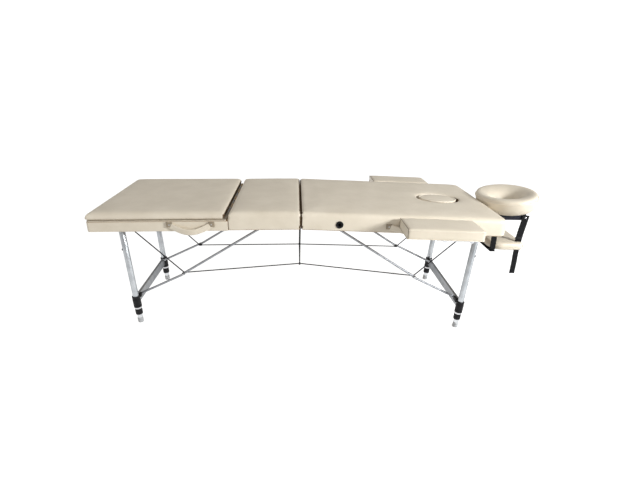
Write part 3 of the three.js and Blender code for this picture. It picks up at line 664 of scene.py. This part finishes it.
main_outline = panel(PAD_END, HALF_LENGTH, HALF_WIDTH, 4, HEAD_CORNER)
main = mesh_object("main_pad", *skin(pillow_rings(
    main_outline, FRAME_LOW, PAD_TOP, PAD_EDGE, 0, 0.5)), HALF["right"])
square_end(main, PAD_END, -MEET)
hole = oval(FACE_X, FACE_LENGTH, FACE_WIDTH)
flare = [(0, FRAME_HIGH), (0, TOP - 18), (-1, TOP - 12), (-4, TOP - 7), (-10, TOP - 2),
         (-16, TOP + 4)]
subtract(main, mesh_object("hole", *skin([at_height(hole, i, z) for i, z in flare]), HALF["right"]))
stuff(main, TOP_VOXEL, TOP_SWELL,
      lambda x, y, z: rigid_side(x, y, z) or (in_hole(x, y, 3) and z < TOP - 8))
hug(main, PAD_END, HALF_LENGTH, HEAD_CORNER)
open_underneath(main, lambda c, n: under_cover(c, n) or face_hole_wall(c, n) or over_socket(c))
padded(main, "right_half", ["main_cushion"], -1, TOP + 5)

plug_outline = oval(FACE_X, FACE_LENGTH - 16, FACE_WIDTH - 14)
plug = mesh_object("face_plug_pad", *skin(pillow_rings(
    plug_outline, FRAME_HIGH + 1, PAD_TOP, 8, 3)), HALF["right"])
stuff(plug, 5, 3, rigid_side)
padded(plug, "face_plug", ["face_plug"])
piping("face_plug_piping", at_height(plug_outline, 3, TOP - 4), 3.2, HALF["right"], WELT_HIGHLIGHT,
       "face_plug", 10)

# Side armrests, with a flat piped end face towards the foot of the table
REST_START, REST_END, REST_LOW, REST_HIGH, REST_Y = 431, 755, 36, 80, 440
rest_outline = panel(REST_START, REST_END, 80, 3, 14)
for where, dy in NEAR_FAR.items():
    place = HALF["right"] @ at(0, dy * REST_Y, 0)
    body = f"{where}_armrest"
    rest_pad = mesh_object(f"{where}_armrest_pad", *skin(pillow_rings(
        rest_outline, REST_LOW, REST_HIGH, 6, 4, 0.5)), place)
    stuff(rest_pad, 4.5, 3, lambda x, y, z: x < REST_START + 5 or z < REST_LOW + 3)
    padded(rest_pad, body, [f"{where}_armrest"])
    end_face = [(REST_START, y, z + 58) for y, z in flat_section(157, 41, 3.5)]
    piping(f"{where}_armrest_end_piping", end_face, 1.5, place, DARK_PIPING_AND_FOLD_SHADE, body)
    for label, z in (("upper", 75.5), ("lower", 39)):
        piping(f"{where}_armrest_{label}_piping", at_height(rest_outline, 0.4, z), 1.4, place, WELT_HIGHLIGHT,
               body)

# Headrest ring: high rounded rim that dips in towards the face opening
HEAD_X, HEAD_LENGTH, HEAD_WIDTH = HEAD_CENTRE_X - TILT_X, 268, 362


def head_ring(dip, z):
    """A ring of the cushion: dip is 0 at its rim and 1 at the face opening."""
    a, b = HEAD_LENGTH / 2 + 8 - dip * 76, HEAD_WIDTH / 2 + 4 - dip * 130
    return [(HEAD_X + a * math.cos(t), b * math.sin(t), z) for t in round_angles(72)]


head_profile = [
    (0.74, 29.8), (0.42, 29.8), (0.415, 19), (0.33, 19), (0.24, 23), (0.15, 33), (0.075, 48),
    (0.025, 66), (0.0, 82), (0.015, 93), (0.06, 100), (0.13, 103), (0.26, 103), (0.42, 100),
    (0.58, 95), (0.72, 88), (0.84, 78), (0.93, 66), (0.98, 54), (1.0, 45), (0.97, 36),
]
ring_pad = mesh_object("headrest_pad", *skin([head_ring(i, z) for i, z in head_profile], True),
                       CRADLE)
stuff(ring_pad, 5, 4, lambda x, y, z: z < 40)
padded(ring_pad, "headrest_cradle", ["headrest_cushion"])
piping("headrest_piping", head_ring(-0.012, 86), 1.7, CRADLE, WELT_HIGHLIGHT, "headrest_cradle")

# Arm sling
SLING_START, SLING_END, SLING_HALF, SLING_LOW, SLING_HIGH = -162, 12, 162, -162, -126
STRAP_Y, STRAP_X, INNER_X, UNDER = 130.8, -15, -152, -166.4
sling_outline = panel(SLING_START, SLING_END, SLING_HALF, 66, 30)
sling_pad = mesh_object("sling_cushion", *skin(pillow_rings(
    sling_outline, SLING_LOW, SLING_HIGH, 14, 10, 1.5)), SLING)
stuff(sling_pad, 5, 4, lambda x, y, z: x > -40 and abs(abs(y) - 131) < 8)
padded(sling_pad, "arm_sling", ["sling_pad"])
piping("sling_piping", at_height(sling_outline, -0.5, -144), 1.8, SLING, WELT_HIGHLIGHT, "arm_sling")

# Vinyl wrapped round the foot half's frame, below the lifting section; its inner end is open
wrap_outline = panel(MIDDLE_END - 0.8, -HALF_LENGTH, HALF_WIDTH, 1, FOOT_CORNER)
wrap_rings = [at_height(wrap_outline, inset, z) for inset, z in (
    (6, FRAME_LOW - 0.8), (0.4, FRAME_LOW - 0.8), (-0.9, FRAME_LOW + 0.8), (-0.9, FRAME_HIGH - 2),
    (-0.2, FRAME_HIGH - 0.6), (0.1, FRAME_HIGH - 1.6), (0.1, FRAME_LOW + 0.1),
    (6, FRAME_LOW - 0.2))]
wrap = mesh_object("foot_frame_wrap", *skin(list(zip(*wrap_rings))), HALF["left"])
settle(wrap, CREAM, "left_half")

# Padded carry handles
HANDLE_START, HANDLE_END, HANDLE_Z, HANDLE_STEPS, HANDLE_BOW = 378, 577, 37, 36, 15
HANDLE_Y, HANDLE_SEAT = -HALF_WIDTH - 5.5, -HALF_WIDTH - 4.5


def carry_handle(name, half, sag):
    side, body = SIDES[half], f"{half}_half"
    shares = [i / HANDLE_STEPS for i in range(HANDLE_STEPS + 1)]
    path = [(side * (HANDLE_START + (HANDLE_END - HANDLE_START) * t), HANDLE_Y,
             HANDLE_Z - sag * math.sin(math.pi * t)) for t in shares]
    rings = []
    for t, ring in zip(shares, sweep(path, flat_section(26, 9, 4), Z_AXIS)):
        thin = 0.3 + 0.7 * min(1, 6 * t, 6 * (1 - t))
        seat = HANDLE_SEAT - HANDLE_BOW * math.sin(math.pi * t) ** 2
        rings.append([Vector((p.x, seat + (p.y - HANDLE_Y) * thin, p.z)) for p in ring])
    pad = mesh_object(name, *skin(rings), HALF[half])
    settle(pad, CREAM, body, [f"{half}_handle"], 60)
    # The tabs over the strap's ends are coloured dark as painted shade of its folds
    for label, x in (("inner", HANDLE_START + 9), ("outer", HANDLE_END - 9)):
        fold_shade_tab = HALF[half] @ at(side * x, -HALF_WIDTH - 6.4, HANDLE_Z - 2)
        slab(f"{name}_{label}_tab", (-13, -1.8, -12), (13, 1.8, 12), fold_shade_tab, DARK_PIPING_AND_FOLD_SHADE, body, 1.4)
        bolt(f"{name}_{label}_rivet", fold_shade_tab @ at(0, -1.6, 0) @ turn(QUARTER, "X"), 2.8, 2, STEEL,
             body)


carry_handle("left_carry_handle", "left", 33)
carry_handle("right_carry_handle", "right", 17)

# ---- Side sockets ----
SOCKET_DEPTH = 20
SOCKET = [
    (0, -SOCKET_DEPTH), (11, -SOCKET_DEPTH), (11, 0.5), (16, 0.5), (16.6, 1.2), (16.6, 2.6),
    (15.8, 3.4), (13.4, 3.9), (12.6, 3.2), (11.8, 3.2), (11, 3.9), (9, 3.6), (8.2, 2.6), (8, 0),
    (8, 2 - SOCKET_DEPTH), (0, 2 - SOCKET_DEPTH),
]
for where, dy in NEAR_FAR.items():
    place = HALF["right"] @ at(SOCKET_X, dy * HALF_WIDTH, SOCKET_Z) @ turn(-dy * QUARTER, "X")
    lathe(f"{where}_socket", SOCKET, place, BLACK, "right_half", 48, [f"{where}_side_socket"])

# ---- Legs ----
# Turned parts as (radius, z) pairs
LEG_TUBE = [(14, up(80)), (14, 12), (13.4, 13), (12.5, 13), (12.5, up(80))]
LOCK_RING = [
    (14.2, up(85)), (16.4, up(85)), (17, up(84.4)), (17, up(77.2)), (16.4, up(76.4)),
    (12.9, up(76.4)), (12.9, up(79.6)), (14.2, up(79.6)),
]
CLAMP = [
    (14.3, up(85.4)), (18, up(85.4)), (19, up(86.4)), (19, up(94)), (17.4, up(95)), (17.4, up(99)),
    (19, up(100)), (19, up(128)), (17.6, up(129)), (17.6, up(133)), (19, up(134)), (19, up(142)),
    (18, up(143)), (14.3, up(143)),
]
TWIST_GRIP = [
    (12.7, up(46)), (15.6, up(46)), (16.9, up(48)), (16.9, up(54)), (16.9, up(66)), (16.9, up(72)),
    (15.8, up(75)), (12.7, up(75)),
]
SLIDE_TUBE = [(10.4, up(20)), (11.95, up(20)), (11.95, up(350)), (10.4, up(350))]
RUBBER_FOOT = [
    (0, up(0)), (9, up(0.2)), (12, up(1.2)), (13.3, up(4)), (13.5, up(9)), (12.9, up(10.5)),
    (12.9, up(12)), (13.5, up(13.5)), (13.4, up(24)), (12.8, up(27.5)), (12, up(28.5)),
    (0, up(28.5)),
]
LOWEST = 0.0002  # metres: where the sole of a leaning leg is cut level


def level_sole(foot, leg):
    for v in foot.data.vertices:
        depth = (leg @ v.co).z
        if depth < LOWEST:
            v.co.z -= depth - LOWEST


def stay_fixing(name, half, leg, dy, body):
    """The lug and pin on a leg's clamp that hold its lower stay."""
    inboard, lug_x = -dy, -SIDES[half] * LUG_OUT
    reach = inboard * (LEG_Y[half] - LOWER_STAY_Y[half] - STAY_R - GAP)
    x0, x1 = sorted((-SIDES[half] * 9, -SIDES[half] * 22.5))
    y0, y1 = sorted((inboard * 8, reach))
    slab(f"{name}_clamp_lug", (x0, y0, up(130)), (x1, y1, up(150)), leg, BLACK, body, 3)
    pin_end = reach + inboard * (2 * STAY_R + 2 * GAP + 1.5)
    pin, length = pointing((lug_x, reach - inboard, up(LUG_UP)), (lug_x, pin_end, up(LUG_UP)))
    profile = [(2.5, 0), (2.5, length - 1.6), (4.4, length - 1.5), (4.2, length - 0.5),
               (2.4, length)]
    lathe(f"{name}_stay_pin", profile, leg @ pin, BRIGHT, body, 24)


for half, side in SIDES.items():
    legs = LEGS[half]
    body = f"{half}_legs"
    outward = turn(side * QUARTER)
    for where, dy in NEAR_FAR.items():
        name = f"{half}_{where}"
        leg = legs @ at(0, dy * LEG_Y[half], 0)
        lathe(f"{name}_ribbed_tube", LEG_TUBE, leg, TUBE_Z, body, 96, [f"{name}_leg"],
              closed=True, flutes=24, depth=0.5)
        lathe(f"{name}_lock_ring", LOCK_RING, leg, BRIGHT, body, 40, closed=True)
        bolt(f"{name}_bumper", leg @ at(side * 13.6, 0, up(385)) @ outward, 5.5, 5, BLACK, body)
        lathe(f"{name}_clamp", CLAMP, leg, BLACK, body, 48, [f"{name}_leg_bracket"], closed=True)
        stay_fixing(name, half, leg, dy, body)
        bolt(f"{name}_clamp_screw", leg @ at(side * 18.4, 0, up(115)) @ outward, 4, 2.4, BRIGHT,
             body)
        lathe(f"{name}_twist_grip", TWIST_GRIP, leg, BLACK, f"{name}_twist_collar", 120,
              [f"{name}_twist_collar"], closed=True, flutes=20, depth=1.1)
        lathe(f"{name}_slide_tube", SLIDE_TUBE, leg, INNER, f"{name}_inner_leg", 48,
              [f"{name}_inner_leg"], closed=True)
        foot = lathe(f"{name}_rubber_foot", RUBBER_FOOT, leg, RUBBER, f"{name}_inner_leg", 48)
        level_sole(foot, leg)
    reach = LEG_Y[half] - 19.4
    slab(f"{half}_brace_bar", (-6.6, -reach, up(101)), (6.6, reach, up(142)), legs, SHADED_ALUMINIUM_BAR, body, 2,
         [f"{half}_crossbar"])

# ---- Folding stays ----
run_x, run_z = KNUCKLE_X - STAY_PIVOT_X, KNUCKLE_Z - STAY_PIVOT_Z
UPPER_LENGTH, UPPER_ANGLE = math.hypot(run_x, run_z), math.atan2(-run_z, run_x)
drop = LEG_LENGTH - LUG_UP
lug_x = PIVOT_X - drop * math.sin(LEG_LEAN) - LUG_OUT * math.cos(LEG_LEAN)
lug_z = PIVOT_Z - drop * math.cos(LEG_LEAN) + LUG_OUT * math.sin(LEG_LEAN)
LOWER_LENGTH = math.hypot(lug_x - KNUCKLE_X, lug_z - KNUCKLE_Z)
LOWER_ANGLE = math.atan2(KNUCKLE_Z - lug_z, lug_x - KNUCKLE_X)
WASHER = [(2.7, 0), (7.4, 0), (7.8, 0.5), (7.4, 1.2), (2.7, 1.4)]


def stay_tube(name, place, direction, length, body, replaces):
    """A round tube along X with pressed ends round its two pins."""
    profile = [(2.5, -9.4), (4.4, -9), (5.3, -7), (STAY_R, -4), (STAY_R, length + 4),
               (5.3, length + 7), (4.4, length + 9), (2.5, length + 9.4)]
    return lathe(name, profile, place @ turn(direction * QUARTER), STAY, body, 32, replaces)


for half, side in SIDES.items():
    lower_y = LOWER_STAY_Y[half]
    for where, dy in NEAR_FAR.items():
        name = f"{half}_{where}"
        inward, outward = turn(dy * QUARTER, "X"), turn(-dy * QUARTER, "X")
        upper = HALF[half] @ at(side * STAY_PIVOT_X, dy * (lower_y - STAY_STEP), STAY_PIVOT_Z)
        upper = upper @ turn(side * UPPER_ANGLE)
        body = f"{name}_upper_stay"
        stay_tube(f"{name}_upper_tube", upper, side, UPPER_LENGTH, body, [f"{name}_upper_stay"])
        for label, x in (("top", 0), ("knuckle", side * UPPER_LENGTH)):
            spot = upper @ at(x, -dy * (STAY_R - 0.3), 0) @ inward
            bolt(f"{name}_{label}_rivet", spot, 3.6, 2, BRIGHT, body)
        spot = upper @ at(side * UPPER_LENGTH, dy * (STAY_R + 0.3), 0) @ outward
        lathe(f"{name}_knuckle_washer", WASHER, spot, BLACK, body, 28)

        lower = LEGS[half] @ at(-side * LUG_OUT, dy * lower_y, up(LUG_UP))
        lower = lower @ turn(side * (LOWER_ANGLE - LEG_LEAN))
        body = f"{name}_lower_stay"
        stay_tube(f"{name}_lower_tube", lower, -side, LOWER_LENGTH, body, [f"{name}_lower_stay"])
        spot = lower @ at(-side * LOWER_LENGTH, dy * (STAY_R - 0.3), 0) @ outward
        bolt(f"{name}_lower_rivet", spot, 3.8, 2.2, BRIGHT, body)

# ---- Cables ----
CRIMP = [(2.2, -7), (4.6, -6), (4.9, 8), (2.4, 10)]
BEAD = [(1, -7), (3.6, -6), (4.6, -3), (4.6, 3), (3.6, 6), (1, 7)]
for half, side in SIDES.items():
    body = f"{half}_half"
    for where, dy in NEAR_FAR.items():
        name = f"{half}_{where}"
        y = dy * (LOWER_STAY_Y[half] - STAY_STEP - 10)
        knee = Vector((side * KNUCKLE_X, y, KNUCKLE_Z))
        start = Vector((side * CABLE_END_X, y, CABLE_END_Z))
        end_x = side * (JUNCTION_GAP - JUNCTION_Z * math.sin(CROWN))
        end = Vector((end_x, dy * JUNCTION_Y, JUNCTION_Z))
        onward = (end - knee).normalized()
        route = [start, knee + (start - knee).normalized() * 6, knee, knee + onward * 6, end]
        rope = strand(f"{name}_wire", route, WIRE_R, HALF[half], WIRE, body, [f"{name}_cable"])
        crimp, _ = pointing(knee + onward * 3, end)
        clip = lathe(f"{name}_wire_crimp", CRIMP, HALF[half] @ crimp, BLACK, body, 20)
        for piece in (rope, clip):
            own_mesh(piece)
centre = Matrix.Translation(hinge)
half_web = [(0, JUNCTION_Y - 5, JUNCTION_Z), (0, JUNCTION_Y, JUNCTION_Z),
            (0, JUNCTION_Y, JUNCTION_Z + 5), (0, JUNCTION_Y, -5)]
web = [(x, -y, z) for x, y, z in reversed(half_web)] + half_web
rope = strand("centre_wire", web, WIRE_R, centre, WIRE, "left_half", ["centre_cable"])
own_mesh(rope)
for where, dy in NEAR_FAR.items():
    bead = lathe(f"{where}_wire_bead", BEAD, centre @ at(0, dy * JUNCTION_Y, JUNCTION_Z), BLACK,
                 "left_half", 24)
    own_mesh(bead)

# ---- Headrest hardware ----
BAR_Y, BAR_OUTSIDE = 116, 124
for where, dy in NEAR_FAR.items():
    y0, y1 = sorted((dy * BAR_Y, dy * BAR_OUTSIDE))
    slab(f"headrest_{where}_bar", (-6, y0, -12.5), (162, y1, 12.5), ARMS, COATED, "headrest_arms",
         2, [f"headrest_{where}_arm"])
    face, outward = at(0, dy * BAR_OUTSIDE, 0), turn(-dy * QUARTER, "X")
    bolt(f"headrest_{where}_tilt_bolt", SLING @ face @ outward @ at(0, 0, 4), 6, 4.5, BRIGHT,
         "headrest_arms")
    bolt(f"headrest_{where}_pivot_bolt", ARMS @ face @ outward, 6.5, 4.5, BRIGHT, "headrest_arms")


# ---- Sling straps ----
def webbing(name, route, width, replaces=()):
    """A flat strap, 1.6 mm thick, that faces along X."""
    rings = sweep(smooth_path(route, 6), flat_section(width, 1.6), X_AXIS)
    settle(mesh_object(name, *skin(rings), SLING), WEBBING, "arm_sling", replaces)


def both_sides(route):
    return route + [(x, -y, z) for x, y, z in reversed(route)]


outer_route = [
    (1, STRAP_Y, 12), (-4, STRAP_Y, -28), (-11, STRAP_Y, -80), (STRAP_X, STRAP_Y, -126),
    (STRAP_X, STRAP_Y, -156), (STRAP_X, STRAP_Y - 3, -164.5), (STRAP_X, STRAP_Y - 14, UNDER),
]
tail_route = [
    (STRAP_X, -STRAP_Y, -158), (STRAP_X, -STRAP_Y - 1, -174), (STRAP_X + 1, -STRAP_Y + 1, -205),
    (STRAP_X + 3, -STRAP_Y + 3, -240), (STRAP_X + 1, -STRAP_Y + 1, -300),
]
inner_route = [(INNER_X, y, z) for y, z in (
    (131, 9), (133, -20), (143, -54), (154, -86), (157, -120), (157, -152), (152, -164.5),
    (140, UNDER))]
webbing("sling_outer_webbing", both_sides(outer_route), 34, ["sling_outer_strap"])
webbing("sling_loose_tail", tail_route, 28)
webbing("sling_inner_webbing", both_sides(inner_route), 28, ["sling_inner_strap"])
for where, dy in NEAR_FAR.items():
    y = dy * STRAP_Y
    slab(f"sling_{where}_buckle", (STRAP_X - 17, y - 2.2, -112), (STRAP_X + 17, y + 2.2, -100),
         SLING, BLACK, "arm_sling", 1)

# ---- CAD pieces that stay as they are ----
KEPT = {
    "left_frame": WOOD, "right_frame": WOOD, "back_deck": BACKING, "back_hinge_leaf": STEEL,
    "fold_hinge_left": STEEL, "fold_hinge_right": STEEL, "left_leg_mount": STEEL,
    "right_leg_mount": STEEL, "backrest_prop": STEEL, "near_armrest_bracket": STEEL,
    "far_armrest_bracket": STEEL, "headrest_base": COATED, "headrest_plate": COATED,
}
for node, (material, slot) in KEPT.items():
    kept = frame["nodes"][node]
    kept.data.materials.clear()
    kept.data.materials.append(material)

# ---- Floor, backdrop, light and camera; lengths in metres from here on ----
FLOOR_REACH, FLOOR_Z, WALL_REACH, WALL_LOW, WALL_HIGH = 30, -0.0005, 29, -1, 90
PAPER_GLOW, SKY_COLOUR, SKY_STRENGTH = 0.84, (1, 0.985, 0.96, 1), 0.475


def square(reach, z):
    return [(-reach, -reach, z), (reach, -reach, z), (reach, reach, z), (-reach, reach, z)]


floor_mesh = bpy.data.meshes.new("floor")
floor_mesh.from_pydata(square(FLOOR_REACH, 0), [], [(0, 1, 2, 3)])
floor = linked("floor", floor_mesh)
floor.location.z = FLOOR_Z
floor.visible_diffuse = False
paper, _, _ = new_material("pale_floor", (0.5, 0.5, 0.5), 0.9, Emission_Color=(1, 1, 1, 1),
                           Emission_Strength=PAPER_GLOW, Specular_IOR_Level=0.0)
floor_mesh.materials.append(paper)
walls = bpy.data.meshes.new("backdrop")
walls.from_pydata(square(WALL_REACH, WALL_LOW) + square(WALL_REACH, WALL_HIGH), [],
                  [(i, (i + 1) % 4, (i + 1) % 4 + 4, i + 4) for i in range(4)])
backdrop = linked("backdrop", walls)
backdrop.visible_diffuse = backdrop.visible_glossy = backdrop.visible_shadow = False
walls.materials.append(paper)

world = bpy.data.worlds.new("studio")
bpy.context.scene.world = world
world.use_nodes = True
sky = world.node_tree.nodes["Background"]
sky.inputs["Color"].default_value = SKY_COLOUR
sky.inputs["Strength"].default_value = SKY_STRENGTH
bpy.context.scene.view_settings.view_transform = "Standard"


def area_light(name, place, target, size, power, colour=(1, 1, 1)):
    data = bpy.data.lights.new(name, "AREA")
    data.shape, data.size, data.energy, data.color = "DISK", size, power, colour
    lamp = linked(name, data)
    lamp.location = place
    lamp.rotation_euler = (Vector(target) - Vector(place)).to_track_quat("-Z", "Y").to_euler()


area_light("key", (2.8, -2.1, 1.65), (0.2, 0, 0.5), 0.8, 120, (0.965, 0.985, 1.0))
area_light("fill", (-3.0, -2.6, 1.8), (-0.3, 0, 0.5), 2.0, 14)

# The camera as fitted to the photo: its place, its turns and its focal length in pixels
EYE_X, EYE_Y, EYE_Z = -0.0282, -2.2239, 1.1633
FOCAL_PIXELS, PHOTO_WIDTH, SENSOR = 450.15, 625, 36
YAW, PITCH, ROLL = (math.radians(a) for a in (2.5028, 21.3539, 1.5493))
forward = math.cos(PITCH)
ahead = Vector((math.sin(YAW) * forward, math.cos(YAW) * forward, -math.sin(PITCH)))
level = Vector((math.cos(YAW), -math.sin(YAW), 0))
above = level.cross(ahead)
right = math.cos(ROLL) * level + math.sin(ROLL) * above
raised = -math.sin(ROLL) * level + math.cos(ROLL) * above
camera = linked("camera", bpy.data.cameras.new("camera"))
camera.matrix_world = Matrix.Translation((hinge.x + EYE_X, EYE_Y, EYE_Z)) @ Matrix(
    (right, raised, -ahead)).transposed().to_4x4()
camera.data.sensor_width = SENSOR
camera.data.lens = FOCAL_PIXELS / PHOTO_WIDTH * SENSOR
bpy.context.scene.camera = camera
